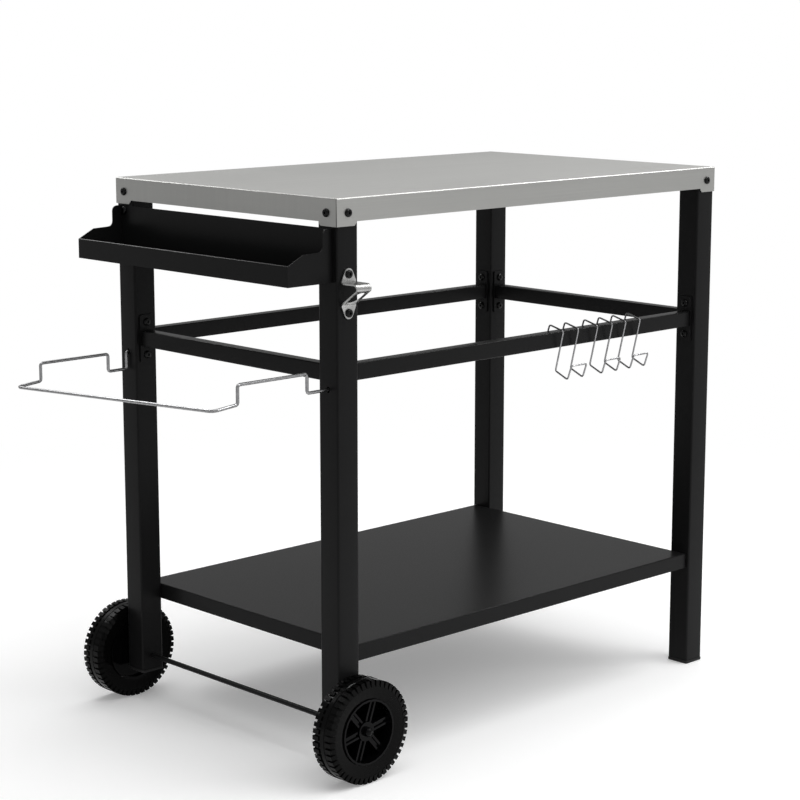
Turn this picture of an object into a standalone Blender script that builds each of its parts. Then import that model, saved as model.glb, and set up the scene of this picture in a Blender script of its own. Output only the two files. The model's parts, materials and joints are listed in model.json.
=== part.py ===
"""Grill cart: a steel work table on four square legs, with a lower shelf and two wheels.

Metres, +Z up. X is the long side, with the wheels at the -X end, and -Y is the front.
The origin is on the floor under the middle of the cart's outer box.
"""

import math

import bmesh
import bpy
from mathutils import Matrix, Vector

# Driving sizes of the tabletop
TOP_LENGTH = 0.846
TOP_WIDTH = 0.516
TOP_HEIGHT = 0.850
TOP_SHEET = 0.0012
TOP_APRON = 0.0345
TOP_EDGE_RADIUS = 0.0025
TAB_DEPTH = 0.0405
TAB_WIDTH = 0.038
TAB_CHAMFER = 0.004

# Legs and their plastic caps
LEG_SIZE = 0.040
LEG_WALL = 0.0015
LEG_RADIUS = 0.003
WHEEL_LEG_BOTTOM = 0.056
CAP_FLANGE = 0.004
CAP_PROUD = 0.0006
CAP_PLUG = 0.014

# Middle rails, with a welded plate at each end
RAIL_THICK = 0.020
RAIL_TALL = 0.025
RAIL_WALL = 0.0015
RAIL_RADIUS = 0.002
RAIL_HEIGHT = 0.598
PLATE_WIDTH = 0.026
PLATE_TALL = 0.075
PLATE_THICK = 0.0025
PLATE_RADIUS = 0.003
PLATE_BOLT_SPREAD = 0.052

# Lower shelf
SHELF_HEIGHT = 0.1945
SHELF_LIP = 0.025
SHELF_SHEET = 0.0012
SHELF_INSET = 0.006
SHELF_EDGE_RADIUS = 0.002
SHELF_BOLT_DROP = 0.0125
SHELF_BOLT_INSET = 0.020

# Wheels and axle
WHEEL_RADIUS = 0.0775
WHEEL_WIDTH = 0.040
WHEEL_GAP = 0.004
RIM_RADIUS = 0.0496
TREAD_DEPTH = 0.0022
SIDEWALL_BULGE = 0.003
CENTRE_BAND = 0.009
BAND_GROOVE = 0.002
LUG_COUNT = 48
LUG_WIDEN = 0.15
LUG_OVERHANG = 0.010
LUG_PROUD = 0.0006
HUB_WALL = 0.0034
HUB_WEB = 0.003
HUB_RECESS = 0.0015
WEB_OFFSET = 0.010
BOSS_RADIUS = 0.0145
BOSS_RECESS = 0.007
INNER_BOSS_RADIUS = 0.010
SPOKE_COUNT = 6
SPOKE_WIDTH = 0.0115
SPOKE_GROOVE = 0.0050
SPOKE_GROOVE_DEPTH = 0.0025
SPOKE_RECESS = 0.009
SPOKE_TURN = 10.6
AXLE_RADIUS = 0.004
AXLE_STICK_OUT = 0.006
AXLE_CAP_RADIUS = 0.0072
AXLE_CAP_DOME = 0.0025

# Spice tray on the wheel end
TRAY_LENGTH = 0.493
TRAY_DEPTH = 0.082
TRAY_SHEET = 0.0012
TRAY_TOP_DROP = 0.0432
TRAY_TALL = 0.0763
TRAY_LIP = 0.0295
TRAY_BOLT_DROP = 0.0072
TRAY_EAR = 0.0175
TRAY_EAR_RADIUS = 0.008
TRAY_STEP_RADIUS = 0.008
TRAY_STEP_HEIGHT = 0.0445
TRAY_STEP_LENGTH = 0.054

# Bottle opener on the front-left leg
OPENER_WIDTH = 0.027
OPENER_TALL = 0.0725
OPENER_SHEET = 0.0025
OPENER_DROP = 0.1355
OPENER_BOLT_SPREAD = 0.0555
OPENER_EAR_RADIUS = 0.0085
OPENER_REACH = 0.035
OPENER_HOOD_TOP = 0.0165
OPENER_HOOD_TALL = 0.0325
OPENER_NOSE_RADIUS = 0.0075
OPENER_MOUTH = 0.021
OPENER_MOUTH_LONG = 0.027

# Bag ring, a bent wire that hangs from both legs of the wheel end
RING_WIRE = 0.0025
RING_REACH = 0.209
RING_HEIGHT = 0.5765
RING_STUB_DROP = 0.0275
RING_STUB_OUT = 0.0042
RING_JOG_NEAR = 0.040
RING_JOG_FAR = 0.166
RING_JOG_RISE = 0.0275
RING_FRONT_DROP = 0.004
RING_TIP = 0.013
RING_BEND = 0.0036
RING_CORNER = 0.009
SLOT_HEIGHT = 0.0094

# Double hooks on the front rail
HOOK_WIRE = 0.0014
HOOK_WIDTH = 0.0355
HOOK_REAR_OUT = 0.0035
HOOK_REAR_DROP = 0.007
HOOK_APEX_IN = 0.0018
HOOK_APEX_RISE = 0.0095
HOOK_FRONT_OUT = 0.011
HOOK_FRONT_RISE = 0.0023
HOOK_STEM_LEAN = 0.0046
HOOK_STEM_END = 0.0622
HOOK_BOTTOM = 0.0732
HOOK_BOTTOM_FORWARD = 0.021
HOOK_TIP_FORWARD = 0.0288
HOOK_TIP_HEIGHT = 0.0507
HOOK_BEND = 0.0032
HOOK_PLACES = (0.492, 0.5733, 0.6418)

# Roll holder, a bent wire whose ends hook into slots in the right rail
HOLDER_WIRE = 0.0025
HOLDER_SPAN = 0.300
HOLDER_MIDDLE = -0.030
HOLDER_REACH = 0.065
HOLDER_DROP = 0.003
HOLDER_TIP = 0.008
HOLDER_BEND = 0.0036

# Bolts
BOLT_RADIUS = 0.003
BOLT_LENGTH = 0.014
BOLT_HEAD_RADIUS = 0.0062
BOLT_HEAD_TALL = 0.0034
BOLT_CROWN = 0.68
TOP_BOLT_DROP = 0.0215

# Clearances and smoothness
SEAT_GAP = 0.0003
TOP_CLEARANCE = 0.0006
HOLE_CLEARANCE = 0.0003
AXLE_CLEARANCE = 0.0003
WELD_DISTANCE = 0.000005
SINK = 0.001
BOLT_SIDES = 8
AXLE_SIDES = 12
HUB_STEPS = 24
CORNER_STEPS = 2
BEND_STEPS = 2

# Sizes that follow from the ones above
LEG_X = TOP_LENGTH / 2 - TOP_SHEET - TOP_CLEARANCE
LEG_Y = TOP_WIDTH / 2 - TOP_SHEET - TOP_CLEARANCE
LEG_CENTRE_X = LEG_X - LEG_SIZE / 2
LEG_CENTRE_Y = LEG_Y - LEG_SIZE / 2
LEG_TOP = TOP_HEIGHT - TOP_SHEET - TOP_CLEARANCE
RAIL_TOP = RAIL_HEIGHT + RAIL_TALL / 2
TRAY_WALL_TOP = TOP_HEIGHT - TRAY_TOP_DROP
TRAY_BOTTOM = TRAY_WALL_TOP - TRAY_TALL
OPENER_CENTRE = TOP_HEIGHT - OPENER_DROP
WHEEL_CENTRE_Y = LEG_Y + WHEEL_GAP + WHEEL_WIDTH / 2
HOLDER_HINGE_X = LEG_CENTRE_X + (RAIL_THICK - RAIL_WALL) / 2
HOLDER_X = HOLDER_HINGE_X + HOLDER_REACH
LOW_X = -(LEG_X + RING_REACH + RING_WIRE)
HIGH_X = HOLDER_X + HOLDER_WIRE
ORIGIN_X = (LOW_X + HIGH_X) / 2

SIDES = {"left": -1, "right": 1}
ENDS = {"front": -1, "back": 1}


def clear_scene():
    """Remove every object that a new file starts with."""
    for item in list(bpy.data.objects):
        bpy.data.objects.remove(item, do_unlink=True)


def new_collection(name):
    """Make a collection under the scene."""
    collection = bpy.data.collections.new(name)
    bpy.context.scene.collection.children.link(collection)
    return collection


clear_scene()
PARTS = new_collection("grill_cart")
CUTTERS = new_collection("cutters")


def make_material(name, colour, roughness, metallic):
    """A plain Principled material."""
    material = bpy.data.materials.new(name)
    material.use_nodes = True
    shader = material.node_tree.nodes["Principled BSDF"]
    shader.inputs["Base Color"].default_value = (*colour, 1.0)
    shader.inputs["Roughness"].default_value = roughness
    shader.inputs["Metallic"].default_value = metallic
    return material


STAINLESS = make_material("stainless", (0.56, 0.56, 0.54), 0.38, 1.0)
BLACK_STEEL = make_material("black_powder_coat", (0.022, 0.022, 0.023), 0.45, 0.0)
CHROME = make_material("chrome_wire", (0.62, 0.62, 0.63), 0.18, 1.0)
BLACK_BOLT = make_material("black_bolt", (0.015, 0.015, 0.016), 0.32, 0.6)
TYRE_PLASTIC = make_material("tyre", (0.016, 0.016, 0.017), 0.5, 0.0)
HUB_PLASTIC = make_material("hub_plastic", (0.012, 0.012, 0.013), 0.3, 0.0)
CAP_PLASTIC = make_material("cap_plastic", (0.02, 0.02, 0.02), 0.5, 0.0)


def finish_part(item, material):
    """Put a finished piece in the cart's collection, moved to the cart's origin."""
    PARTS.objects.link(item)
    item.location.x -= ORIGIN_X
    if item.data.materials:
        item.data.materials[0] = material
    else:
        item.data.materials.append(material)
    if item.type == "MESH":
        item.data.shade_smooth()
        item.data.set_sharp_from_angle(angle=math.radians(30))
    return item


def as_cutter(item):
    """Put a helper solid in the cutters' collection, moved to the cart's origin."""
    CUTTERS.objects.link(item)
    item.location.x -= ORIGIN_X
    item.hide_render = True
    item.display_type = "WIRE"
    return item


def mesh_object(name, shape):
    """Turn a bmesh into an object and free the bmesh."""
    mesh = bpy.data.meshes.new(name)
    shape.to_mesh(mesh)
    shape.free()
    return bpy.data.objects.new(name, mesh)


def solid_from_curve(item):
    """Replace a curve object by the closed mesh that it shows."""
    bpy.context.scene.collection.objects.link(item)
    bpy.context.view_layer.update()
    shown = item.evaluated_get(bpy.context.evaluated_depsgraph_get())
    mesh = bpy.data.meshes.new_from_object(shown)
    shape = bmesh.new()
    shape.from_mesh(mesh)
    bmesh.ops.remove_doubles(shape, verts=shape.verts, dist=WELD_DISTANCE)
    bmesh.ops.recalc_face_normals(shape, faces=shape.faces)
    shape.to_mesh(mesh)
    shape.free()
    name = item.name
    bpy.data.objects.remove(item, do_unlink=True)
    return bpy.data.objects.new(name, mesh)


def extruded(name, loops, depth):
    """A flat outline, with any holes in it, extruded along Z about its own plane."""
    curve = bpy.data.curves.new(name, "CURVE")
    curve.dimensions = "2D"
    curve.fill_mode = "BOTH"
    curve.extrude = depth / 2
    for loop in loops:
        spline = curve.splines.new("POLY")
        spline.points.add(len(loop) - 1)
        for point, (x, y) in zip(spline.points, loop):
            point.co = (x, y, 0.0, 1.0)
        spline.use_cyclic_u = True
    return solid_from_curve(bpy.data.objects.new(name, curve))


def tube(name, outline, wall, length):
    """A hollow tube along Z about its own middle, from its outer outline."""
    shape = bmesh.new()
    ends = []
    for height in (-length / 2, length / 2):
        points = [shape.verts.new((x, y, height)) for x, y in outline]
        ends.append([shape.edges.new(pair) for pair in zip(points, points[1:] + points[:1])])
    bmesh.ops.bridge_loops(shape, edges=ends[0] + ends[1])
    bmesh.ops.recalc_face_normals(shape, faces=shape.faces)
    item = mesh_object(name, shape)
    sheet = item.modifiers.new("Wall", "SOLIDIFY")
    sheet.thickness = wall
    sheet.offset = -1
    sheet.use_even_offset = True
    return item


def joined(name, solids):
    """One mesh object that holds several separate solids at their places."""
    shape = bmesh.new()
    for solid in solids:
        placed = solid.data.copy()
        placed.transform(solid.matrix_basis)
        shape.from_mesh(placed)
        bpy.data.objects.remove(solid, do_unlink=True)
    return mesh_object(name, shape)


def turned(name, profile, steps, closed=False):
    """A profile of (radius, height) points turned about Z."""
    shape = bmesh.new()
    points = [shape.verts.new((radius, 0.0, height)) for radius, height in profile]
    for first, second in zip(points, points[1:]):
        shape.edges.new((first, second))
    if closed:
        shape.edges.new((points[-1], points[0]))
    item = mesh_object(name, shape)
    turn = item.modifiers.new("Turn", "SCREW")
    turn.steps = steps
    turn.render_steps = steps
    turn.use_merge_vertices = True
    turn.merge_threshold = WELD_DISTANCE
    return item


def boolean(item, other, operation):
    """Cut or join one solid with a helper solid."""
    modifier = item.modifiers.new(operation.title(), "BOOLEAN")
    modifier.operation = operation
    modifier.object = other
    modifier.solver = "EXACT"


def arc(centre, radius, start, end, steps):
    """Points on a round stretch of an outline, angles in degrees."""
    angles = [math.radians(start + (end - start) * i / steps) for i in range(steps + 1)]
    return [(centre[0] + radius * math.cos(a), centre[1] + radius * math.sin(a)) for a in angles]


def rounded_rectangle(width, height, radius, steps=CORNER_STEPS):
    """A rectangle with round corners about the origin."""
    across, up = width / 2 - radius, height / 2 - radius
    return (arc((across, up), radius, 0, 90, steps)
            + arc((-across, up), radius, 90, 180, steps)
            + arc((-across, -up), radius, 180, 270, steps)
            + arc((across, -up), radius, 270, 360, steps))


def bent(corners, steps=BEND_STEPS):
    """A path through (point, bend radius) corners, with an arc at each bend."""
    points = [Vector(point) for point, radius in corners]
    path = [points[0]]
    for before, here, after, radius in zip(points, points[1:], points[2:],
                                           [radius for point, radius in corners[1:]]):
        arriving = (here - before).normalized()
        leaving = (after - here).normalized()
        turn = arriving.angle(leaving)
        if radius == 0 or turn < math.radians(2):
            path.append(here)
            continue
        reach = radius * math.tan(turn / 2)
        inward = (leaving - arriving).normalized()
        centre = here + inward * (radius / math.cos(turn / 2))
        start = here - arriving * reach - centre
        axis = arriving.cross(leaving).normalized()
        for i in range(steps + 1):
            path.append(centre + Matrix.Rotation(turn * i / steps, 3, axis) @ start)
    path.append(points[-1])
    return path


def wire(name, path, radius, location, material, roundness=2):
    """A round wire along a path, placed with its origin at the location."""
    curve = bpy.data.curves.new(name, "CURVE")
    curve.dimensions = "3D"
    curve.bevel_depth = radius
    curve.bevel_resolution = roundness
    curve.use_fill_caps = True
    spline = curve.splines.new("POLY")
    spline.points.add(len(path) - 1)
    for point, place in zip(spline.points, path):
        point.co = (*place, 1.0)
    item = bpy.data.objects.new(name, curve)
    item.location = location
    return finish_part(item, material)


def facing(direction):
    """The turn that points a piece's own +Z along a direction."""
    return Vector(direction).to_track_quat("Z", "Y").to_euler()


# Upright outlines: drawn in XZ and extruded along Y, or drawn in YZ and extruded along X
UPRIGHT_XZ = Matrix.Rotation(math.radians(90), 4, "X")
UPRIGHT_YZ = Matrix.Rotation(math.radians(90), 4, "Z") @ Matrix.Rotation(math.radians(90), 4, "X")


def upright(item, turn, location):
    """Stand an extruded outline up and put it in its place."""
    item.data.transform(turn)
    item.location = location
    return item


def cylinder_between(shape, start, end, radius, sides):
    """Add a closed cylinder between two points to a bmesh."""
    start, end = Vector(start), Vector(end)
    place = Matrix.Translation((start + end) / 2) @ facing(end - start).to_matrix().to_4x4()
    bmesh.ops.create_cone(shape, cap_ends=True, segments=sides, radius1=radius, radius2=radius,
                          depth=(end - start).length, matrix=place)


# Fasteners: each is a seat under the head and the direction in which the head points
FASTENERS = {}


def add_fastener(name, seat, axis):
    """Note one fastener by its name."""
    FASTENERS[name] = (Vector(seat), Vector(axis))


def list_fasteners():
    """Work out every bolt from the faces that it holds together."""
    for end, y_sign in ENDS.items():
        for side, x_sign in SIDES.items():
            place = f"{end}_{side}"
            corner_x, corner_y = x_sign * LEG_CENTRE_X, y_sign * LEG_CENTRE_Y
            height = TOP_HEIGHT - TOP_BOLT_DROP
            add_fastener(f"top_bolt_{place}_face", (corner_x, y_sign * TOP_WIDTH / 2, height),
                         (0, y_sign, 0))
            add_fastener(f"top_bolt_{place}_end", (x_sign * TOP_LENGTH / 2, corner_y, height),
                         (x_sign, 0, 0))
            plate_x = x_sign * (LEG_X - LEG_SIZE - SEAT_GAP - PLATE_THICK)
            plate_y = y_sign * (LEG_Y - LEG_SIZE - SEAT_GAP - PLATE_THICK)
            for level, z_sign in (("upper", 1), ("lower", -1)):
                height = RAIL_HEIGHT + z_sign * PLATE_BOLT_SPREAD / 2
                add_fastener(f"rail_bolt_{end}_at_{side}_{level}", (plate_x, corner_y, height),
                             (-x_sign, 0, 0))
                add_fastener(f"rail_bolt_{side}_at_{end}_{level}", (corner_x, plate_y, height),
                             (0, -y_sign, 0))
            shelf_x = x_sign * (LEG_X - LEG_SIZE - SEAT_GAP - SHELF_SHEET)
            shelf_y = y_sign * (LEG_Y - SHELF_BOLT_INSET)
            add_fastener(f"shelf_bolt_{place}", (shelf_x, shelf_y, SHELF_HEIGHT - SHELF_BOLT_DROP),
                         (-x_sign, 0, 0))
        add_fastener(f"tray_bolt_{end}", (-(LEG_X + SEAT_GAP + TRAY_SHEET), y_sign * LEG_CENTRE_Y,
                                          TRAY_WALL_TOP - TRAY_BOLT_DROP), (-1, 0, 0))
    for level, z_sign in (("upper", 1), ("lower", -1)):
        add_fastener(f"opener_bolt_{level}", (-LEG_CENTRE_X, -(LEG_Y + SEAT_GAP + OPENER_SHEET),
                                              OPENER_CENTRE + z_sign * OPENER_BOLT_SPREAD / 2), (0, -1, 0))


def fastener_holes(names):
    """One cutter with a clearance hole for each of the named fasteners."""
    shape = bmesh.new()
    for name in names:
        seat, axis = FASTENERS[name]
        cylinder_between(shape, seat + axis * BOLT_HEAD_TALL, seat - axis * BOLT_LENGTH,
                         BOLT_RADIUS + HOLE_CLEARANCE, BOLT_SIDES)
    return as_cutter(mesh_object("holes", shape))


def drill(item, *prefixes):
    """Cut the holes of every fastener whose name starts with one of the prefixes."""
    names = [name for name in FASTENERS if name.startswith(prefixes)]
    boolean(item, fastener_holes(names), "DIFFERENCE")


def build_bolts():
    """Button-head bolts, one for each fastener."""
    head, radius = BOLT_HEAD_TALL, BOLT_HEAD_RADIUS
    profile = [(0.0, head), (radius * BOLT_CROWN, head), (radius, SEAT_GAP), (BOLT_RADIUS, SEAT_GAP),
               (BOLT_RADIUS, -BOLT_LENGTH), (0.0, -BOLT_LENGTH)]
    for name, (seat, axis) in FASTENERS.items():
        bolt = turned(name, profile, BOLT_SIDES)
        bolt.location = seat
        bolt.rotation_euler = facing(axis)
        finish_part(bolt, BLACK_BOLT)


def folded_pan(name, length, width, depth, height, thickness, fold_radius, fold_steps):
    """A sheet at the given height with all four edges folded down."""
    shape = bmesh.new()
    bmesh.ops.create_cube(shape, size=1.0)
    floor = min(shape.faces, key=lambda face: face.calc_center_median().z)
    bmesh.ops.delete(shape, geom=[floor], context="FACES_ONLY")
    bmesh.ops.scale(shape, vec=(length, width, depth), verts=shape.verts)
    item = mesh_object(name, shape)
    item.location = (0, 0, height - depth / 2)
    folds = item.modifiers.new("Folds", "BEVEL")
    folds.width = fold_radius
    folds.segments = fold_steps
    sheet = item.modifiers.new("Sheet", "SOLIDIFY")
    sheet.thickness = thickness
    sheet.offset = -1
    sheet.use_even_offset = True
    return item


def build_tabletop():
    """A pan folded from one sheet, with a deeper bolted tab at each end of every edge."""
    item = folded_pan("tabletop", TOP_LENGTH, TOP_WIDTH, TAB_DEPTH, TOP_HEIGHT, TOP_SHEET,
                      TOP_EDGE_RADIUS, 3)
    for length, width, turn in ((TOP_LENGTH, TOP_WIDTH, UPRIGHT_XZ), (TOP_WIDTH, TOP_LENGTH, UPRIGHT_YZ)):
        half = length / 2 - TAB_WIDTH
        low, high = TOP_HEIGHT - TAB_DEPTH, TOP_HEIGHT - TOP_APRON
        outline = [(half, high), (-half, high), (-half, low + TAB_CHAMFER), (-half - TAB_CHAMFER, low),
                   (-half - TAB_CHAMFER, low - SINK), (half + TAB_CHAMFER, low - SINK),
                   (half + TAB_CHAMFER, low), (half, low + TAB_CHAMFER)]
        notch = upright(extruded("apron_notch", [outline], width + 2 * SINK), turn, (0, 0, 0))
        boolean(item, as_cutter(notch), "DIFFERENCE")
    drill(item, "top_bolt")
    finish_part(item, STAINLESS)


def build_legs():
    """Square tubes with round corners, drilled for what they carry."""
    outline = rounded_rectangle(LEG_SIZE, LEG_SIZE, LEG_RADIUS)
    for end, y_sign in ENDS.items():
        for side, x_sign in SIDES.items():
            bottom = WHEEL_LEG_BOTTOM if side == "left" else CAP_FLANGE + SEAT_GAP
            leg = tube(f"leg_{end}_{side}", outline, LEG_WALL, LEG_TOP - bottom)
            leg.location = (x_sign * LEG_CENTRE_X, y_sign * LEG_CENTRE_Y, (LEG_TOP + bottom) / 2)
            names = [f"top_bolt_{end}_{side}", f"rail_bolt_{end}_at_{side}", f"rail_bolt_{side}_at_{end}",
                     f"shelf_bolt_{end}_{side}"]
            if side == "left":
                names.append(f"tray_bolt_{end}")
                boolean(leg, axle_and_ring_holes(y_sign), "DIFFERENCE")
            if (end, side) == ("front", "left"):
                names.append("opener_bolt")
            drill(leg, *names)
            finish_part(leg, BLACK_STEEL)


def wire_slot(wire_radius, place):
    """A helper solid for the slot through a wall that lets a bent wire's end swing."""
    width = 2 * (wire_radius + HOLE_CLEARANCE)
    outline = rounded_rectangle(width, SLOT_HEIGHT, width / 2 - HOLE_CLEARANCE)
    return upright(extruded("wire_slot", [outline], 4 * LEG_WALL), UPRIGHT_YZ, place)


def axle_and_ring_holes(y_sign):
    """The axle's hole through both walls of a leg, and the slot for one end of the bag ring."""
    shape = bmesh.new()
    centre_y = y_sign * LEG_CENTRE_Y
    cylinder_between(shape, (-LEG_CENTRE_X, centre_y - LEG_SIZE, WHEEL_RADIUS),
                     (-LEG_CENTRE_X, centre_y + LEG_SIZE, WHEEL_RADIUS),
                     AXLE_RADIUS + AXLE_CLEARANCE, AXLE_SIDES)
    holes = mesh_object("axle_hole", shape)
    slot = wire_slot(RING_WIRE, (-LEG_X + LEG_WALL / 2, centre_y, RING_HEIGHT))
    return as_cutter(joined("axle_and_ring_holes", [holes, slot]))


def build_caps():
    """Plastic caps that plug the lower ends of the legs."""
    plug_size = LEG_SIZE - 2 * LEG_WALL - 2 * SEAT_GAP
    for end, y_sign in ENDS.items():
        for side, x_sign in SIDES.items():
            top = WHEEL_LEG_BOTTOM - SEAT_GAP if side == "left" else CAP_FLANGE
            flange_size = LEG_SIZE + 2 * CAP_PROUD
            cap = extruded(f"foot_cap_{end}_{side}",
                           [rounded_rectangle(flange_size, flange_size, LEG_RADIUS)], CAP_FLANGE)
            cap.location = (x_sign * LEG_CENTRE_X, y_sign * LEG_CENTRE_Y, top - CAP_FLANGE / 2)
            plug = extruded("cap_plug", [rounded_rectangle(plug_size, plug_size, LEG_RADIUS - LEG_WALL)],
                            CAP_PLUG + SINK)
            plug.location = (x_sign * LEG_CENTRE_X, y_sign * LEG_CENTRE_Y, top + (CAP_PLUG - SINK) / 2)
            boolean(cap, as_cutter(plug), "UNION")
            finish_part(cap, CAP_PLASTIC)


def build_rail(name, length, location, turn, bolts):
    """A rectangular tube with a taller plate welded to each end."""
    rail = tube(name, rounded_rectangle(RAIL_THICK, RAIL_TALL, RAIL_RADIUS, 2), RAIL_WALL,
                length - PLATE_THICK)
    upright(rail, turn, location)
    plate_bore = rounded_rectangle(RAIL_THICK - 2 * RAIL_WALL - SINK, RAIL_TALL - 2 * RAIL_WALL - SINK,
                                   RAIL_RADIUS, 1)
    plates = []
    for sign in (-1, 1):
        plate = extruded("plate", [rounded_rectangle(PLATE_WIDTH, PLATE_TALL, PLATE_RADIUS, 2), plate_bore],
                         PLATE_THICK)
        plate.data.transform(Matrix.Translation((0, 0, sign * (length - PLATE_THICK) / 2)))
        plates.append(upright(plate, turn, location))
    boolean(rail, as_cutter(joined(f"{name}_plates", plates)), "UNION")
    drill(rail, bolts)
    if name == "rail_right":
        slots = [wire_slot(HOLDER_WIRE, (HOLDER_HINGE_X, HOLDER_MIDDLE + sign * HOLDER_SPAN / 2,
                                         RAIL_HEIGHT - HOLDER_DROP)) for sign in (-1, 1)]
        boolean(rail, as_cutter(joined("holder_slots", slots)), "DIFFERENCE")
    finish_part(rail, BLACK_STEEL)


def build_rails():
    long_rail = 2 * (LEG_X - LEG_SIZE - SEAT_GAP)
    short_rail = 2 * (LEG_Y - LEG_SIZE - SEAT_GAP)
    for end, y_sign in ENDS.items():
        build_rail(f"rail_{end}", long_rail, (0, y_sign * LEG_CENTRE_Y, RAIL_HEIGHT), UPRIGHT_YZ,
                   f"rail_bolt_{end}_at")
    for side, x_sign in SIDES.items():
        build_rail(f"rail_{side}", short_rail, (x_sign * LEG_CENTRE_X, 0, RAIL_HEIGHT), UPRIGHT_XZ,
                   f"rail_bolt_{side}_at")


def build_shelf():
    """A folded pan that fits between the legs of one end and those of the other."""
    item = folded_pan("lower_shelf", 2 * (LEG_X - LEG_SIZE - SEAT_GAP), 2 * (LEG_Y - SHELF_INSET),
                      SHELF_LIP, SHELF_HEIGHT, SHELF_SHEET, SHELF_EDGE_RADIUS, 2)
    drill(item, "shelf_bolt")
    finish_part(item, BLACK_STEEL)


def tyre_profile():
    """The tyre's section without its lugs, as (radius, offset) points of one closed loop."""
    half, base = WHEEL_WIDTH / 2 - LUG_PROUD, WHEEL_RADIUS - TREAD_DEPTH
    side = [(WHEEL_RADIUS - SINK, CENTRE_BAND / 2 - SINK), (base, CENTRE_BAND / 2),
            (base, CENTRE_BAND / 2 + BAND_GROOVE), (base - SINK, half - SIDEWALL_BULGE),
            (WHEEL_RADIUS - LUG_OVERHANG, half), (RIM_RADIUS, half - SIDEWALL_BULGE)]
    return [(radius, -offset) for radius, offset in side] + side[::-1]


def build_tyre(name, y_sign):
    """A ring spun from its section, with a row of lugs raised round each shoulder."""
    half, base = WHEEL_WIDTH / 2, WHEEL_RADIUS - TREAD_DEPTH
    shape = bmesh.new()
    points = [shape.verts.new((radius, 0.0, offset)) for radius, offset in tyre_profile()]
    section = [shape.edges.new(pair) for pair in zip(points, points[1:] + points[:1])]
    bmesh.ops.spin(shape, geom=points + section, axis=(0, 0, 1), cent=(0, 0, 0), angle=2 * math.pi,
                   steps=2 * LUG_COUNT, use_merge=True)
    bmesh.ops.recalc_face_normals(shape, faces=shape.faces)
    inner, outer = CENTRE_BAND / 2 + BAND_GROOVE, WHEEL_RADIUS - LUG_OVERHANG
    pitch = math.pi / LUG_COUNT
    for vertex in shape.verts:
        if abs(vertex.co.z) > inner - SINK and vertex.co.xy.length > outer - SINK:
            column = round(math.atan2(vertex.co.y, vertex.co.x) / pitch)
            lean = -1 if column % 2 == (0 if vertex.co.z > 0 else 1) else 1
            vertex.co.rotate(Matrix.Rotation(lean * LUG_WIDEN * pitch, 3, "Z"))
    lugs = []
    for face in shape.faces:
        middle = face.calc_center_median()
        sector = int(math.atan2(middle.y, middle.x) % (2 * math.pi) / pitch)
        if (abs(middle.z) > inner and middle.xy.length > outer
                and sector % 2 == (0 if middle.z > 0 else 1)):
            lugs.append(face)
    raised = bmesh.ops.extrude_face_region(shape, geom=lugs)
    bmesh.ops.delete(shape, geom=lugs, context="FACES")
    for vertex in (part for part in raised["geom"] if isinstance(part, bmesh.types.BMVert)):
        side = math.copysign(1, vertex.co.z)
        radius = vertex.co.xy.length
        if radius > (base + outer) / 2:
            vertex.co.xy *= WHEEL_RADIUS / radius
            if abs(vertex.co.z) > (inner + half) / 2:
                vertex.co.z = side * (half - SIDEWALL_BULGE / 2)
        else:
            vertex.co.z = side * half
    tyre = mesh_object(name, shape)
    tyre.location = (-LEG_CENTRE_X, y_sign * WHEEL_CENTRE_Y, WHEEL_RADIUS)
    tyre.rotation_euler = facing((0, y_sign, 0))
    finish_part(tyre, TYRE_PLASTIC)


def build_hub(name, y_sign):
    """A moulded hub: barrel, closed web, six grooved spokes and a boss that reaches the leg."""
    outer = RIM_RADIUS * math.cos(math.pi / LUG_COUNT / 2) - SEAT_GAP
    barrel = RIM_RADIUS - HUB_WALL
    face = WHEEL_WIDTH / 2 - HUB_RECESS
    boss_top = WHEEL_WIDTH / 2 - BOSS_RECESS
    boss_low = -(WHEEL_WIDTH / 2 + WHEEL_GAP - 2 * SEAT_GAP)
    bore = AXLE_RADIUS + AXLE_CLEARANCE
    profile = [(outer, face), (outer, -face), (barrel, -face), (barrel, -WEB_OFFSET - HUB_WEB),
               (INNER_BOSS_RADIUS, -WEB_OFFSET - HUB_WEB), (INNER_BOSS_RADIUS, boss_low),
               (bore, boss_low), (bore, boss_top), (BOSS_RADIUS, boss_top), (BOSS_RADIUS, -WEB_OFFSET),
               (barrel, -WEB_OFFSET), (barrel, face)]
    hub = turned(name, profile, HUB_STEPS, closed=True)
    low, high = -WEB_OFFSET - SINK, WHEEL_WIDTH / 2 - SPOKE_RECESS
    wide, groove = SPOKE_WIDTH / 2, SPOKE_GROOVE / 2
    section = [(-wide, low), (wide, low), (wide, high), (groove, high), (groove, high - SPOKE_GROOVE_DEPTH),
               (-groove, high - SPOKE_GROOVE_DEPTH), (-groove, high), (-wide, high)]
    length = barrel - BOSS_RADIUS + SINK
    spokes = []
    for i in range(SPOKE_COUNT):
        spoke = extruded("spoke", [section], length)
        spoke.data.transform(UPRIGHT_YZ)
        spoke.data.transform(Matrix.Translation(((barrel + BOSS_RADIUS) / 2, 0, 0)))
        turn = 2 * math.pi * i / SPOKE_COUNT + math.radians(SPOKE_TURN)
        spoke.data.transform(Matrix.Rotation(turn, 4, "Z"))
        spokes.append(spoke)
    star = joined(f"{name}_spokes", spokes)
    for piece in (hub, star):
        piece.location = (-LEG_CENTRE_X, y_sign * WHEEL_CENTRE_Y, WHEEL_RADIUS)
        piece.rotation_euler = facing((0, y_sign, 0))
    boolean(hub, as_cutter(star), "UNION")
    finish_part(hub, HUB_PLASTIC)


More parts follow.
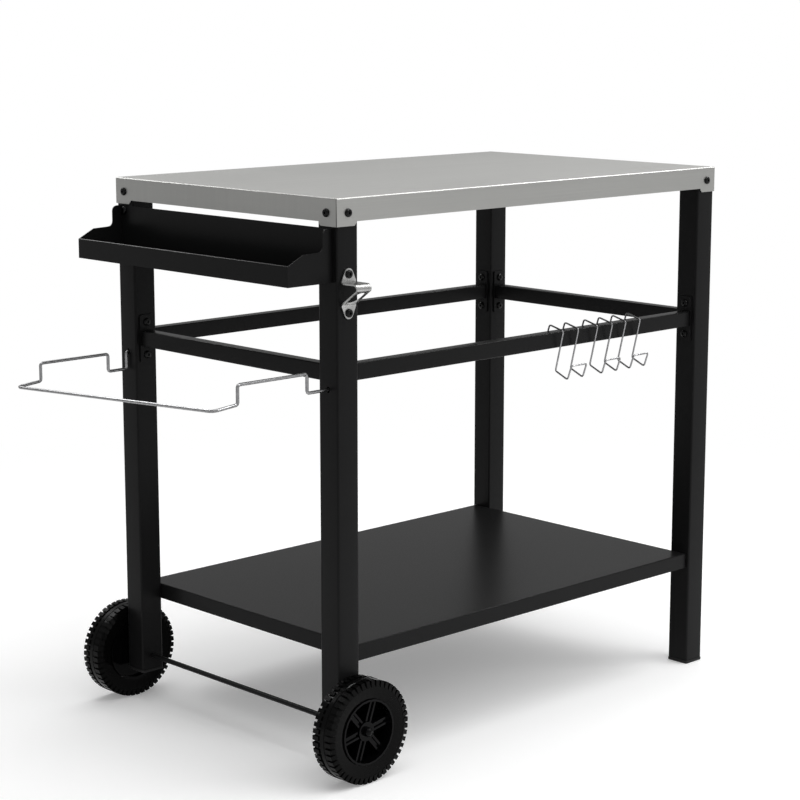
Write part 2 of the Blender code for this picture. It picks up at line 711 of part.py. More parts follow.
def build_axle():
    """The rod through both legs and both wheels, with a cap pressed on each end."""
    hub_face = WHEEL_CENTRE_Y + WHEEL_WIDTH / 2 - BOSS_RECESS
    reach = hub_face + AXLE_STICK_OUT
    shape = bmesh.new()
    cylinder_between(shape, (0, -reach, 0), (0, reach, 0), AXLE_RADIUS, AXLE_SIDES)
    axle = mesh_object("axle", shape)
    axle.location = (-LEG_CENTRE_X, 0, WHEEL_RADIUS)
    finish_part(axle, BLACK_STEEL)
    bore = AXLE_RADIUS + AXLE_CLEARANCE
    depth = AXLE_STICK_OUT + SEAT_GAP
    top = depth + AXLE_CAP_DOME
    profile = [(0.0, top), (AXLE_CAP_RADIUS * 0.6, top - AXLE_CAP_DOME * 0.25),
               (AXLE_CAP_RADIUS, depth - SINK), (AXLE_CAP_RADIUS, SEAT_GAP), (bore, SEAT_GAP),
               (bore, depth), (0.0, depth)]
    for end, y_sign in ENDS.items():
        cap = turned(f"axle_cap_{end}", profile, AXLE_SIDES)
        cap.location = (-LEG_CENTRE_X, y_sign * hub_face, WHEEL_RADIUS)
        cap.rotation_euler = facing((0, y_sign, 0))
        finish_part(cap, HUB_PLASTIC)


def build_tray():
    """A folded tray whose end walls step down from the bolted back wall to the front lip."""
    bottom, top = TRAY_BOTTOM, TRAY_WALL_TOP
    step = bottom + TRAY_STEP_HEIGHT
    outline = [(0.0, bottom), (0.0, top)]
    outline += arc((-TRAY_EAR + TRAY_EAR_RADIUS, top - TRAY_EAR_RADIUS), TRAY_EAR_RADIUS, 90, 180, 3)
    outline += arc((-TRAY_EAR - TRAY_STEP_RADIUS, step + TRAY_STEP_RADIUS), TRAY_STEP_RADIUS, 0, -90, 3)
    outline += [(-TRAY_STEP_LENGTH, step - SINK), (-TRAY_DEPTH, bottom + TRAY_LIP), (-TRAY_DEPTH, bottom)]
    place = (-LEG_X - SEAT_GAP, 0, 0)
    tray = upright(extruded("spice_tray", [outline], TRAY_LENGTH), UPRIGHT_XZ, place)
    room = [(-TRAY_SHEET, bottom + TRAY_SHEET), (-TRAY_SHEET, top + SINK),
            (TRAY_SHEET - TRAY_DEPTH, top + SINK), (TRAY_SHEET - TRAY_DEPTH, bottom + TRAY_SHEET)]
    inside = upright(extruded("tray_room", [room], TRAY_LENGTH - 2 * TRAY_SHEET), UPRIGHT_XZ, place)
    boolean(tray, as_cutter(inside), "DIFFERENCE")
    drill(tray, "tray_bolt")
    finish_part(tray, BLACK_STEEL)


def build_opener():
    """A bottle opener bent from one strip: two bolted ears and a hood with a round mouth."""
    half, sheet, reach = OPENER_TALL / 2, OPENER_SHEET, OPENER_REACH
    top, low = OPENER_HOOD_TOP, OPENER_HOOD_TOP - OPENER_HOOD_TALL
    nose = OPENER_NOSE_RADIUS
    hood = arc((-reach + nose, top - nose), nose, 90, 200, 4)
    room = arc((-reach + nose, top - nose), nose - sheet, 200, 90, 4)
    slope = (low - hood[-1][1]) / (-sheet - hood[-1][0])
    outline = [(0.0, -half), (0.0, room[0][1] - slope * room[0][0])] + room
    outline += [(0.0, top - sheet), (0.0, half), (-sheet, half), (-sheet, top)] + hood
    outline += [(-sheet, low), (-sheet, -half)]
    body = upright(extruded("bottle_opener", [outline], OPENER_WIDTH), UPRIGHT_YZ,
                   (-LEG_CENTRE_X, -LEG_Y - SEAT_GAP, OPENER_CENTRE))
    ear, wide = OPENER_BOLT_SPREAD / 2, OPENER_WIDTH / 2 + SINK
    ears = (arc((0, ear), OPENER_EAR_RADIUS, 20, 160, 6) + [(-wide, top), (-wide, low)]
            + arc((0, -ear), OPENER_EAR_RADIUS, 200, 340, 6) + [(wide, low), (wide, top)])
    keep = upright(extruded("opener_outline", [ears], 3 * reach), UPRIGHT_XZ,
                   (-LEG_CENTRE_X, -LEG_Y, OPENER_CENTRE))
    boolean(body, as_cutter(keep), "INTERSECT")
    across, along = OPENER_MOUTH / 2, (OPENER_MOUTH_LONG - OPENER_MOUTH) / 2
    slot = arc((0, along), across, 0, 180, 8) + arc((0, -along), across, 180, 360, 8)
    mouth = extruded("opener_mouth", [slot], top - 2 * sheet - low + SINK)
    mouth.location = (-LEG_CENTRE_X, -LEG_Y - reach / 2, OPENER_CENTRE + (top - 2 * sheet + low - SINK) / 2)
    boolean(body, as_cutter(mouth), "DIFFERENCE")
    drill(body, "opener_bolt")
    finish_part(body, CHROME)


def build_bag_ring():
    """A bent wire with a raised stretch in each arm. Its ends hook into slots in two legs."""
    near, far = -LEG_CENTRE_Y, LEG_CENTRE_Y
    inside = LEG_WALL / 2 + SEAT_GAP + 2 * RING_WIRE
    start = LEG_WALL / 2
    level, sunk = 0.0, -RING_STUB_DROP

    def arm(y, base):
        rise = base + RING_JOG_RISE
        return [((-start - RING_JOG_NEAR, y, base), RING_BEND), ((-start - RING_JOG_NEAR, y, rise), RING_BEND),
                ((-start - RING_JOG_FAR, y, rise), RING_BEND), ((-start - RING_JOG_FAR, y, base), RING_BEND),
                ((-start - RING_REACH, y, base - RING_FRONT_DROP), RING_CORNER)]

    corners = [((inside, near, RING_TIP), 0), ((inside, near, level), RING_BEND)] + arm(near, level)
    corners += arm(far, sunk)[::-1]
    corners += [((-start - RING_STUB_OUT, far, sunk), RING_BEND), ((-start - RING_STUB_OUT, far, level), RING_BEND),
                ((inside, far, level), RING_BEND), ((inside, far, RING_TIP), 0)]
    wire("bag_ring", bent(corners), RING_WIRE, (-LEG_X + LEG_WALL / 2, 0, RING_HEIGHT), CHROME)


def hook_side(x):
    """One of a double hook's two wires, from its rear end to its tip."""
    return [((x, RAIL_THICK + HOOK_REAR_OUT, -HOOK_REAR_DROP), 0),
            ((x, RAIL_THICK - HOOK_APEX_IN, HOOK_APEX_RISE), HOOK_BEND),
            ((x, -HOOK_FRONT_OUT, HOOK_FRONT_RISE), HOOK_BEND),
            ((x, HOOK_STEM_LEAN, -HOOK_STEM_END), HOOK_BEND),
            ((x, -HOOK_BOTTOM_FORWARD, -HOOK_BOTTOM), HOOK_BEND),
            ((x, -HOOK_TIP_FORWARD, -HOOK_TIP_HEIGHT), HOOK_BEND)]


def build_hooks():
    """Three double hooks, each bent from one wire, hung over the front rail."""
    path = bent(hook_side(-HOOK_WIDTH / 2) + hook_side(HOOK_WIDTH / 2)[::-1])
    rail_face = -LEG_CENTRE_Y - RAIL_THICK / 2
    for number, place in enumerate(HOOK_PLACES, start=1):
        wire(f"double_hook_{number}", path, HOOK_WIRE, (place - LEG_X, rail_face, RAIL_TOP), CHROME, 1)


def build_roll_holder():
    """A bent wire that carries a roll beside the right rail and swings up in its slots."""
    inside = -(RAIL_WALL / 2 + SEAT_GAP + 2 * HOLDER_WIRE)

    def arm(y):
        return [((inside, y, HOLDER_TIP), 0), ((inside, y, 0), HOLDER_BEND), ((HOLDER_REACH, y, 0), HOLDER_BEND)]

    path = bent(arm(-HOLDER_SPAN / 2) + arm(HOLDER_SPAN / 2)[::-1])
    wire("roll_holder", path, HOLDER_WIRE, (HOLDER_HINGE_X, HOLDER_MIDDLE, RAIL_HEIGHT - HOLDER_DROP), CHROME)


def build_cart():
    list_fasteners()
    build_tabletop()
    build_legs()
    build_caps()
    build_rails()
    build_shelf()
    for end, y_sign in ENDS.items():
        build_tyre(f"wheel_tyre_{end}", y_sign)
        build_hub(f"wheel_hub_{end}", y_sign)
    build_axle()
    build_tray()
    build_opener()
    build_bag_ring()
    build_hooks()
    build_roll_holder()
    build_bolts()


build_cart()
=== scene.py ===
"""Looks for the grill cart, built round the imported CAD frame.

Every CAD node keeps its shape and gets a finish and smooth shading. Only the plain CAD bolts are replaced,
by bolts with domed heads and hexagon sockets. Lengths are in metres, +Z is up, and the axes are the frame's
own: -Y is the front, and the wheels are at the -X end.
"""

import json
import math

import bmesh
import bpy
from mathutils import Matrix, Vector


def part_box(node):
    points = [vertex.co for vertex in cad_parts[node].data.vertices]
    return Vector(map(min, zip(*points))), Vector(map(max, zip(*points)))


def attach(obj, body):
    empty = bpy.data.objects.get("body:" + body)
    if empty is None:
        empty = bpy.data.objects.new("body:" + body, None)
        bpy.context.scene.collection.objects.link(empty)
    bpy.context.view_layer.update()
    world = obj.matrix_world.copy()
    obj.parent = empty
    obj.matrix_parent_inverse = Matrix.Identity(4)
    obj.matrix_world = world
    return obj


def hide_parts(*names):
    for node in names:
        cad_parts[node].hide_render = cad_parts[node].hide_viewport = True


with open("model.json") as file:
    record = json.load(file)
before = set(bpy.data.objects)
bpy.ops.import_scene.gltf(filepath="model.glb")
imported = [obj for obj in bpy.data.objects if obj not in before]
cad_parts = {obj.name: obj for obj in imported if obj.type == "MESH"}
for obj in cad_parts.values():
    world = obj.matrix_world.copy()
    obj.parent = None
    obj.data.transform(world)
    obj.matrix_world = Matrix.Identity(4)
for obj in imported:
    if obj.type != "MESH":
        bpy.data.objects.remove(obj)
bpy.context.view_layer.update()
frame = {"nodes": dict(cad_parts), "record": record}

NODES = frame["nodes"]
SLOTS = {part["node"]: part["material_slot"] for part in frame["record"]["subparts"]}
TOP_LOW, TOP_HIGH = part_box("tabletop")
TOP_MIDDLE = (TOP_LOW + TOP_HIGH) / 2


# Node helpers

def feed(tree, socket, value):
    """Link another node's output to a socket, or set the socket to a plain value."""
    if isinstance(value, bpy.types.NodeSocket):
        tree.links.new(value, socket)
    else:
        socket.default_value = value


def calculate(tree, kind, operation, result, *values):
    """One result of a math node, whose inputs are sockets or plain values."""
    node = tree.nodes.new(kind)
    node.operation = operation
    for socket, value in zip(node.inputs, values):
        feed(tree, socket, value)
    return node.outputs[result]


def math_node(tree, operation, *values):
    """The result of a calculation with numbers."""
    return calculate(tree, "ShaderNodeMath", operation, "Value", *values)


def mix_node(tree, kind, factor, first, second):
    """A blend of two numbers or two colours."""
    node = tree.nodes.new("ShaderNodeMix")
    node.data_type = kind
    feed(tree, node.inputs["Factor"], factor)
    feed(tree, node.inputs["A"], first)
    feed(tree, node.inputs["B"], second)
    return node.outputs["Result"]


def map_range(tree, value, given, wanted, interpolation="LINEAR"):
    """Map a value from one range onto another, without going past its ends."""
    node = tree.nodes.new("ShaderNodeMapRange")
    node.interpolation_type = interpolation
    for socket, level in zip(("From Min", "From Max", "To Min", "To Max"), (*given, *wanted)):
        node.inputs[socket].default_value = level
    tree.links.new(value, node.inputs["Value"])
    return node.outputs["Result"]


def coordinates(tree, kind):
    """One kind of texture coordinates."""
    return tree.nodes.new("ShaderNodeTexCoord").outputs[kind]


def one_axis(tree, vector, axis):
    """The part of a vector along an axis."""
    node = tree.nodes.new("ShaderNodeSeparateXYZ")
    tree.links.new(vector, node.inputs["Vector"])
    return node.outputs[axis]


# Materials: noise scales are in cells per metre and details in octaves

NOISE_MIDDLE = (0.3, 0.7)
SOFT_DETAIL = 2.0
CRISP_DETAIL = 3.0

# Lines and streaks have one scale along the brushing and one across it
SHEET_LINES = (3.0, 1100.0)
SHEET_STREAKS = (1.2, 90.0)
SHEET_LINE_DETAIL = 4.0
SHEET_LINE_SHARPNESS = 0.6
SHEET_CLOUDS = 3.0
SHEET_METALLIC = 0.92
FACES_ENDS_FROM = 0.7

# How far each pattern moves the tone or the roughness, either way from its middle
SHEET_LINE_TONE = 0.10
SHEET_STREAK_TONE = 0.05
SHEET_CLOUD_TONE = 0.08
SHEET_GLOSS_REACH = 0.05
WIRE_GLOSS_REACH = 0.05
PAINT_GLOSS_REACH = 0.03

# The seams lie this far in from the tabletop's front and back
SEAM_INSET = 0.0011
SEAM_HALF_WIDTH = 0.0006
# Painted shade: how strongly the seam gaps are darkened, and the near-black colour painted into them
SEAM_SHADE_STRENGTH = 0.85
SEAM_SHADE_COLOUR = (0.01, 0.01, 0.01, 1.0)

WIRE_MOTTLE = 160.0
WIRE_GLOSS = 420.0
WIRE_GRAIN = 900.0

# Each paint tone is a middle and how far the pattern moves it
PAINT_CLOUDS = 6.0
PAINT_CLOUD_TONE = (0.3, 0.05)
PAINT_SPECKS = 600.0
PAINT_SPECK_TONE = (0.2, 0.1)
PAINT_GLOSS = 380.0

# Strength and height of the surface's grain
SHEET_BUMP = (0.05, 0.0002)
WIRE_BUMP = (0.05, 0.0001)
PAINT_BUMP_HEIGHT = 0.0002


def start_material(name):
    """A material with only its Principled shader, returned with its tree and shader."""
    material = bpy.data.materials.new(name)
    material.use_nodes = True
    tree = material.node_tree
    return material, tree, tree.nodes["Principled BSDF"]


def object_place(tree, scale=(1.0, 1.0, 1.0)):
    """The object's own coordinates in metres, stretched by a scale."""
    mapping = tree.nodes.new("ShaderNodeMapping")
    mapping.inputs["Scale"].default_value = scale
    tree.links.new(coordinates(tree, "Object"), mapping.inputs["Vector"])
    return mapping.outputs["Vector"]


def noise(tree, vector, scale, detail, roughness=0.5):
    """A noise value between 0 and 1."""
    node = tree.nodes.new("ShaderNodeTexNoise")
    node.inputs["Scale"].default_value = scale
    node.inputs["Detail"].default_value = detail
    node.inputs["Roughness"].default_value = roughness
    tree.links.new(vector, node.inputs["Vector"])
    return node.outputs["Fac"]


def vary(tree, value, middle, reach):
    """A level that follows a noise value, up to a reach above and below a middle."""
    return map_range(tree, value, NOISE_MIDDLE, (middle - reach, middle + reach))


def blend_colours(tree, value, dark, light):
    """A colour between two, chosen by a noise value."""
    return mix_node(tree, "RGBA", vary(tree, value, 0.5, 0.5), (*dark, 1.0), (*light, 1.0))


def bump(tree, shader, value, strength, height):
    """Raise the surface by a value, up to a height."""
    node = tree.nodes.new("ShaderNodeBump")
    node.inputs["Strength"].default_value = strength
    node.inputs["Distance"].default_value = height
    tree.links.new(value, node.inputs["Height"])
    tree.links.new(node.outputs["Normal"], shader.inputs["Normal"])


def faces_ends(tree):
    """1 where the surface faces the cart's ends, along X, and 0 elsewhere."""
    tilt = math_node(tree, "ABSOLUTE", one_axis(tree, coordinates(tree, "Normal"), "X"))
    return math_node(tree, "GREATER_THAN", tilt, FACES_ENDS_FROM)


def line_noise(tree, scale):
    """A noise value with a scale of its own along each axis."""
    return noise(tree, object_place(tree, scale), 1.0, SHEET_LINE_DETAIL, SHEET_LINE_SHARPNESS)


def brush_lines(tree, along, across):
    """Fine lines along X that turn down at the ends, as on a sheet that was brushed before folding."""
    flat = line_noise(tree, (along, across, across))
    folded = line_noise(tree, (across, across, along))
    return mix_node(tree, "FLOAT", faces_ends(tree), flat, folded)


def seam_gap_shade(tree):
    """Painted shade in the thin gaps where the end aprons meet the side aprons: how dark it is there, and 0
    elsewhere.
    """
    place = one_axis(tree, coordinates(tree, "Object"), "Y")
    from_middle = math_node(tree, "ABSOLUTE", math_node(tree, "SUBTRACT", place, TOP_MIDDLE.y))
    seam_place = TOP_HIGH.y - TOP_MIDDLE.y - SEAM_INSET
    at_seam = math_node(tree, "COMPARE", from_middle, seam_place, SEAM_HALF_WIDTH)
    on_end = math_node(tree, "MULTIPLY", at_seam, faces_ends(tree))
    return math_node(tree, "MULTIPLY", on_end, SEAM_SHADE_STRENGTH)


def brushed_sheet(name, dark, light, roughness):
    """Stainless sheet with brush lines, broad streaks, slow changes of tone, and painted shade in the corner
    seams.
    """
    material, tree, shader = start_material(name)
    shader.inputs["Metallic"].default_value = SHEET_METALLIC
    lines = brush_lines(tree, *SHEET_LINES)
    streaks = brush_lines(tree, *SHEET_STREAKS)
    clouds = noise(tree, object_place(tree), SHEET_CLOUDS, SOFT_DETAIL)
    tone = math_node(tree, "ADD", vary(tree, lines, 0.0, SHEET_LINE_TONE),
                     vary(tree, streaks, 0.0, SHEET_STREAK_TONE))
    tone = math_node(tree, "ADD", tone, vary(tree, clouds, 0.5, SHEET_CLOUD_TONE))
    steel = blend_colours(tree, tone, dark, light)
    # Painted shade: the corner seams are coloured near black, where their gaps would lie in shade
    feed(tree, shader.inputs["Base Color"], mix_node(tree, "RGBA", seam_gap_shade(tree), steel, SEAM_SHADE_COLOUR))
    feed(tree, shader.inputs["Roughness"], vary(tree, lines, roughness, SHEET_GLOSS_REACH))
    bump(tree, shader, lines, *SHEET_BUMP)
    return material


def drawn_wire(name, dark, light, roughness):
    """Plated steel with faint mottling, as on drawn wire."""
    material, tree, shader = start_material(name)
    shader.inputs["Metallic"].default_value = 1.0
    place = object_place(tree)
    mottle = noise(tree, place, WIRE_MOTTLE, CRISP_DETAIL)
    gloss = noise(tree, place, WIRE_GLOSS, SOFT_DETAIL)
    feed(tree, shader.inputs["Base Color"], blend_colours(tree, mottle, dark, light))
    feed(tree, shader.inputs["Roughness"], vary(tree, gloss, roughness, WIRE_GLOSS_REACH))
    bump(tree, shader, noise(tree, place, WIRE_GRAIN, SOFT_DETAIL), *WIRE_BUMP)
    return material


def painted(name, dark, light, roughness, specular, grain, grain_strength):
    """A coat or moulding with a fine texture and small changes of tone and gloss."""
    material, tree, shader = start_material(name)
    shader.inputs["Specular IOR Level"].default_value = specular
    place = object_place(tree)
    clouds = noise(tree, place, PAINT_CLOUDS, SOFT_DETAIL)
    specks = noise(tree, place, PAINT_SPECKS, CRISP_DETAIL)
    gloss = noise(tree, place, PAINT_GLOSS, CRISP_DETAIL)
    tone = math_node(tree, "ADD", vary(tree, clouds, *PAINT_CLOUD_TONE),
                     vary(tree, specks, *PAINT_SPECK_TONE))
    feed(tree, shader.inputs["Base Color"], blend_colours(tree, tone, dark, light))
    feed(tree, shader.inputs["Roughness"], vary(tree, gloss, roughness, PAINT_GLOSS_REACH))
    bump(tree, shader, noise(tree, place, grain, SOFT_DETAIL), grain_strength, PAINT_BUMP_HEIGHT)
    return material


MATERIALS = {
    "stainless": brushed_sheet(
        "brushed_stainless", dark=(0.345, 0.345, 0.334), light=(0.405, 0.405, 0.392), roughness=0.42),
    "chrome_wire": drawn_wire(
        "plated_wire", dark=(0.24, 0.24, 0.245), light=(0.32, 0.32, 0.325), roughness=0.26),
    "black_steel": painted(
        "satin_powder_coat", dark=(0.0072, 0.0072, 0.0074), light=(0.0100, 0.0100, 0.0102),
        roughness=0.32, specular=0.075, grain=1400.0, grain_strength=0.10),
    "black_bolt": painted(
        "black_bolt", dark=(0.0025, 0.0025, 0.0025), light=(0.0045, 0.0045, 0.0045),
        roughness=0.12, specular=0.16, grain=900.0, grain_strength=0.03),
    "tyre": painted(
        "tyre_plastic", dark=(0.0018, 0.0018, 0.0018), light=(0.0030, 0.0030, 0.0030),
        roughness=0.14, specular=0.06, grain=700.0, grain_strength=0.06),
    "hub_plastic": painted(
        "hub_plastic", dark=(0.0014, 0.0014, 0.0016), light=(0.0024, 0.0024, 0.0027),
        roughness=0.13, specular=0.09, grain=500.0, grain_strength=0.04),
    "cap_plastic": painted(
        "cap_plastic", dark=(0.010, 0.010, 0.010), light=(0.014, 0.014, 0.014),
        roughness=0.5, specular=0.2, grain=900.0, grain_strength=0.12),
}
OPENER_STEEL = drawn_wire(
    "opener_steel", dark=(0.33, 0.33, 0.325), light=(0.42, 0.42, 0.415), roughness=0.30)


def paint_nodes():
    """Give every CAD node the finish of its slot. The opener is of a paler steel than the wires."""
    for node, item in NODES.items():
        for slot in item.material_slots:
            slot.material = MATERIALS[SLOTS[node]]
    NODES["bottle_opener"].material_slots[0].material = OPENER_STEEL


paint_nodes()


# Shading: round edges that the CAD cuts into facets are shown smooth, up to an angle in degrees

SMOOTH_UP_TO = {"chrome_wire": 62.0, "tyre": 35.0}
SMOOTH_UP_TO_ELSEWHERE = 50.0
MERGE_WITHIN = 0.000002


def even_shading():
    """A modifier tree that joins a mesh's loose corners and shades it smooth up to an angle."""
    tree = bpy.data.node_groups.new("even_shading", "GeometryNodeTree")
    tree.is_modifier = True
    tree.interface.new_socket("Geometry", in_out="INPUT", socket_type="NodeSocketGeometry")
    tree.interface.new_socket("Limit", in_out="INPUT", socket_type="NodeSocketFloat")
    tree.interface.new_socket("Geometry", in_out="OUTPUT", socket_type="NodeSocketGeometry")
    given = tree.nodes.new("NodeGroupInput")
    result = tree.nodes.new("NodeGroupOutput")
    merge = tree.nodes.new("GeometryNodeMergeByDistance")
    merge.inputs["Distance"].default_value = MERGE_WITHIN
    plain = tree.nodes.new("GeometryNodeRemoveAttribute")
    plain.inputs["Name"].default_value = "custom_normal"
    smooth = tree.nodes.new("GeometryNodeSetShadeSmooth")
    crease = tree.nodes.new("GeometryNodeSetShadeSmooth")
    crease.domain = "EDGE"
    crease.inputs["Shade Smooth"].default_value = False
    angle = tree.nodes.new("GeometryNodeInputMeshEdgeAngle")
    sharper = tree.nodes.new("FunctionNodeCompare")
    sharper.operation = "GREATER_THAN"
    tree.links.new(angle.outputs["Unsigned Angle"], sharper.inputs["A"])
    tree.links.new(given.outputs["Limit"], sharper.inputs["B"])
    tree.links.new(sharper.outputs["Result"], crease.inputs["Selection"])
    chain = (given, merge, plain, smooth, crease, result)
    for before, after in zip(chain, chain[1:]):
        tree.links.new(before.outputs["Geometry"], after.inputs["Geometry"])
    return tree


def shade_nodes():
    """Put the even shading on every CAD node, with flat faces kept flat beside round ones."""
    tree = even_shading()
    limit = next(item.identifier for item in tree.interface.items_tree if item.name == "Limit")
    for node, item in NODES.items():
        even = item.modifiers.new("even_shading", "NODES")
        even.node_group = tree
        even[limit] = math.radians(SMOOTH_UP_TO.get(SLOTS[node], SMOOTH_UP_TO_ELSEWHERE))
        weighted = item.modifiers.new("weighted_normals", "WEIGHTED_NORMAL")
        weighted.keep_sharp = True


shade_nodes()


# Bolts: button heads with a hexagon socket, of the CAD bolt's sizes and with its small gap under the head

HEAD_RADIUS = 0.0062
HEAD_TALL = 0.0034
HEAD_RIM = 0.0007
CROWN_RADIUS = 0.0031
DOME_STEPS = 5
SOCKET_ACROSS = 0.0040
SOCKET_DEEP = 0.0020
SHANK_RADIUS = 0.003
SHANK_LONG = 0.014
BOLT_SIDES = 24
SEAT_GAP = 0.0003
BOLT_SMOOTH_UP_TO = 40.0


def bolt_rings():
    """The bolt's outline from the shank's tip to the socket: radius, height and whether it is a hexagon."""
    rings = [(SHANK_RADIUS, -SHANK_LONG, False),
             (SHANK_RADIUS, SEAT_GAP, False),
             (HEAD_RADIUS, SEAT_GAP, False)]
    rim_top = SEAT_GAP + HEAD_RIM
    for i in range(DOME_STEPS + 1):
        turn = math.radians(90 * i / DOME_STEPS)
        radius = CROWN_RADIUS + (HEAD_RADIUS - CROWN_RADIUS) * math.cos(turn)
        height = rim_top + (HEAD_TALL - rim_top) * math.sin(turn)
        rings.append((radius, height, False))
    rings.append((SOCKET_ACROSS / 2, HEAD_TALL, True))
    rings.append((SOCKET_ACROSS / 2, HEAD_TALL - SOCKET_DEEP, True))
    return rings


def bolt_mesh():
    """One bolt along +Z with its seat at the origin."""
    shape = bmesh.new()
    rows = []
    for radius, height, hexagon in bolt_rings():
        row = []
        for i in range(BOLT_SIDES):
            turn = 2 * math.pi * i / BOLT_SIDES
            reach = radius
            if hexagon:
                reach /= math.cos(turn % (math.pi / 3) - math.pi / 6)
            row.append(shape.verts.new((reach * math.cos(turn), reach * math.sin(turn), height)))
        rows.append(row)
    for low, high in zip(rows, rows[1:]):
        for i in range(BOLT_SIDES):
            j = (i + 1) % BOLT_SIDES
            shape.faces.new((low[i], low[j], high[j], high[i]))
    shape.faces.new(list(reversed(rows[0])))
    shape.faces.new(rows[-1])
    mesh = bpy.data.meshes.new("button_bolt")
    shape.to_mesh(mesh)
    shape.free()
    mesh.shade_smooth()
    mesh.set_sharp_from_angle(angle=math.radians(BOLT_SMOOTH_UP_TO))
    mesh.materials.append(MATERIALS["black_bolt"])
    return mesh


def bolt_seat(node):
    """The middle of a CAD bolt's seat and the way its head points. The head is its wider end."""
    corners = [corner.co for corner in NODES[node].data.vertices]
    low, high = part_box(node)
    middle = (low + high) / 2
    axis = max(range(3), key=lambda i: (high - low)[i])
    side = (axis + 1) % 3
    widest = max(corners, key=lambda place: abs(place[side] - middle[side]))
    direction = Vector((0.0, 0.0, 0.0))
    direction[axis] = math.copysign(1.0, widest[axis] - middle[axis])
    head_end = high if direction[axis] > 0 else low
    seat = middle.copy()
    seat[axis] = head_end[axis] - direction[axis] * HEAD_TALL
    return seat, direction


def build_bolts():
    """A detailed bolt in place of each CAD one."""
    mesh = bolt_mesh()
    for node in sorted(NODES):
        if "bolt" not in node:
            continue
        seat, direction = bolt_seat(node)
        bolt = bpy.data.objects.new(node + "_head", mesh)
        bolt.matrix_world = (Matrix.Translation(seat)
                             @ direction.to_track_quat("Z", "Y").to_matrix().to_4x4())
        bpy.context.scene.collection.objects.link(bolt)
        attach(bolt, "cart")
        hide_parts(node)


build_bolts()


# Stage: a white floor that keeps the shadow, a white world, soft lamps and the camera

WHITE = (1.0, 1.0, 1.0, 1.0)
FLOOR_COLOUR = (0.90, 0.90, 0.90, 1.0)
FLOOR_RADIUS = 40.0
FLOOR_SIDES = 96
FLOOR_DROP = 0.0008

# The floor's paint glows a little, and turns into plain white between these distances from the cart's middle
FLOOR_LIFT = 0.22
FLOOR_FADE = (1.0, 2.2)

# Each level is for the side away from the bright one, and then for the bright side
BRIGHT_SIDE = Vector((0.45, -0.85, 0.25))
FLOOR_MIRRORED = (0.74, 1.0)
WORLD_MIRRORED = (0.42, 0.60)
WORLD_AMBIENT = (0.02, 0.75)

# Name, place, point that it faces, width and height, watts, mirrored by gloss or not, lights paint or not
LAMPS = (
    ("overhead", (0.3, -0.1, 3.0), (0.1, 0.0, 0.4), (4.0, 3.6), 76.0, True, True),
    ("key", (2.4, -3.2, 2.3), (0.1, 0.0, 0.4), (3.0, 2.2), 60.0, False, True),
    ("glint", (0.9, -2.6, 2.9), (0.0, 0.0, 0.4), (0.8, 0.6), 40.0, True, False),
    ("strip", (-0.3, 2.4, 2.2), (-0.3, 0.0, 0.2), (2.2, 0.5), 24.0, True, False),
    ("edge", (2.1, -0.35, 2.5), (0.0, 0.0, 0.4), (1.1, 0.5), 36.0, True, False),
)

# The camera's place and the point that it faces, from the middle of the tabletop
CAMERA_PLACE = TOP_MIDDLE + Vector((-2.4067, -2.4609, 0.2872))
CAMERA_TARGET = TOP_MIDDLE + Vector((0.0121, 0.0694, -0.3648))
CAMERA_LENS = 95.932
CAMERA_SENSOR = 36.0


def towards_light(tree, direction, levels):
    """A value that grows from the first level to the second as a direction turns to the bright side."""
    unit = calculate(tree, "ShaderNodeVectorMath", "NORMALIZE", "Vector", direction)
    facing = calculate(tree, "ShaderNodeVectorMath", "DOT_PRODUCT", "Value", unit, BRIGHT_SIDE.normalized())
    return map_range(tree, facing, (-1.0, 1.0), levels)


def seen(tree, mirrored):
    """1 for camera and transmission rays, the mirrored level for glossy rays, and 0 for other rays."""
    rays = tree.nodes.new("ShaderNodeLightPath").outputs
    glossy = math_node(tree, "MULTIPLY", rays["Is Glossy Ray"], mirrored)
    direct = math_node(tree, "MAXIMUM", rays["Is Camera Ray"], rays["Is Transmission Ray"])
    return math_node(tree, "MAXIMUM", direct, glossy)


def glow(tree, strength):
    """A white light of some strength."""
    node = tree.nodes.new("ShaderNodeEmission")
    feed(tree, node.inputs["Strength"], strength)
    return node.outputs["Emission"]


def floor_material():
    """Lit paint near the cart that fades into plain white further out."""
    material, tree, shader = start_material("floor")
    tree.nodes.remove(shader)
    place = coordinates(tree, "Object")
    level = seen(tree, towards_light(tree, place, FLOOR_MIRRORED))
    paint = tree.nodes.new("ShaderNodeBsdfDiffuse")
    paint.inputs["Color"].default_value = FLOOR_COLOUR
    near = tree.nodes.new("ShaderNodeAddShader")
    tree.links.new(paint.outputs["BSDF"], near.inputs[0])
    tree.links.new(glow(tree, math_node(tree, "MULTIPLY", level, FLOOR_LIFT)), near.inputs[1])
    distance = calculate(tree, "ShaderNodeVectorMath", "LENGTH", "Value", place)
    mix = tree.nodes.new("ShaderNodeMixShader")
    tree.links.new(map_range(tree, distance, FLOOR_FADE, (0.0, 1.0), "SMOOTHSTEP"), mix.inputs["Fac"])
    tree.links.new(near.outputs["Shader"], mix.inputs[1])
    tree.links.new(glow(tree, level), mix.inputs[2])
    tree.links.new(mix.outputs["Shader"], tree.nodes["Material Output"].inputs["Surface"])
    return material


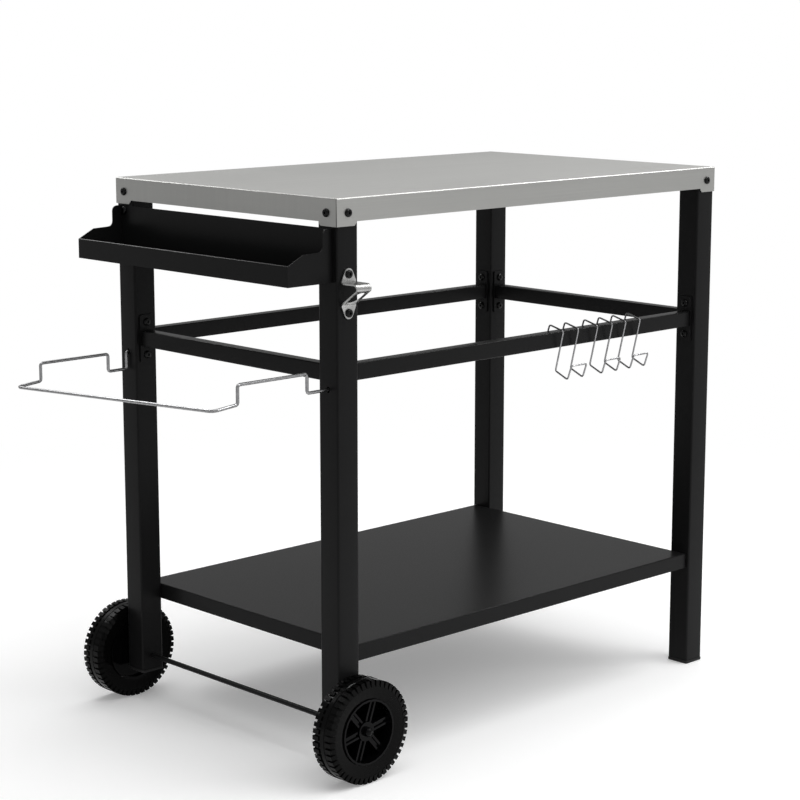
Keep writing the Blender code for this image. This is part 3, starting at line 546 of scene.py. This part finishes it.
def build_floor():
    """A large disc just under the feet."""
    shape = bmesh.new()
    bmesh.ops.create_circle(shape, cap_ends=True, segments=FLOOR_SIDES, radius=FLOOR_RADIUS)
    mesh = bpy.data.meshes.new("floor")
    shape.to_mesh(mesh)
    shape.free()
    mesh.materials.append(floor_material())
    floor = bpy.data.objects.new("floor", mesh)
    floor.location = (0.0, 0.0, -FLOOR_DROP)
    bpy.context.scene.collection.objects.link(floor)


def build_world():
    """White where it is seen. Its light on the cart is stronger on the bright side."""
    world = bpy.data.worlds.new("studio")
    bpy.context.scene.world = world
    world.use_nodes = True
    tree = world.node_tree
    background = tree.nodes["Background"]
    background.inputs["Color"].default_value = WHITE
    direction = coordinates(tree, "Generated")
    is_diffuse = tree.nodes.new("ShaderNodeLightPath").outputs["Is Diffuse Ray"]
    ambient = math_node(tree, "MULTIPLY", towards_light(tree, direction, WORLD_AMBIENT), is_diffuse)
    level = seen(tree, towards_light(tree, direction, WORLD_MIRRORED))
    feed(tree, background.inputs["Strength"], math_node(tree, "MAXIMUM", level, ambient))


def aim(item, place, target):
    """Put a lamp or the camera into the scene, at a place and turned to a point."""
    item.location = place
    item.rotation_euler = (Vector(target) - Vector(place)).to_track_quat("-Z", "Y").to_euler()
    bpy.context.scene.collection.objects.link(item)


def build_lamps():
    """The rectangular lamps. Those that light no paint only put small bright lines on metal and gloss."""
    for name, place, target, size, power, mirrored, lights_paint in LAMPS:
        lamp = bpy.data.lights.new(name, "AREA")
        lamp.shape = "RECTANGLE"
        lamp.size, lamp.size_y = size
        lamp.energy = power
        item = bpy.data.objects.new(name, lamp)
        item.visible_glossy = mirrored
        item.visible_diffuse = lights_paint
        aim(item, place, target)


def build_camera():
    """The camera at the photograph's angle, solved from the cart's corners."""
    data = bpy.data.cameras.new("camera")
    data.lens = CAMERA_LENS
    data.sensor_width = CAMERA_SENSOR
    camera = bpy.data.objects.new("camera", data)
    aim(camera, CAMERA_PLACE, CAMERA_TARGET)
    bpy.context.scene.camera = camera


build_floor()
build_world()
build_lamps()
build_camera()
bpy.context.scene.view_settings.view_transform = "Standard"
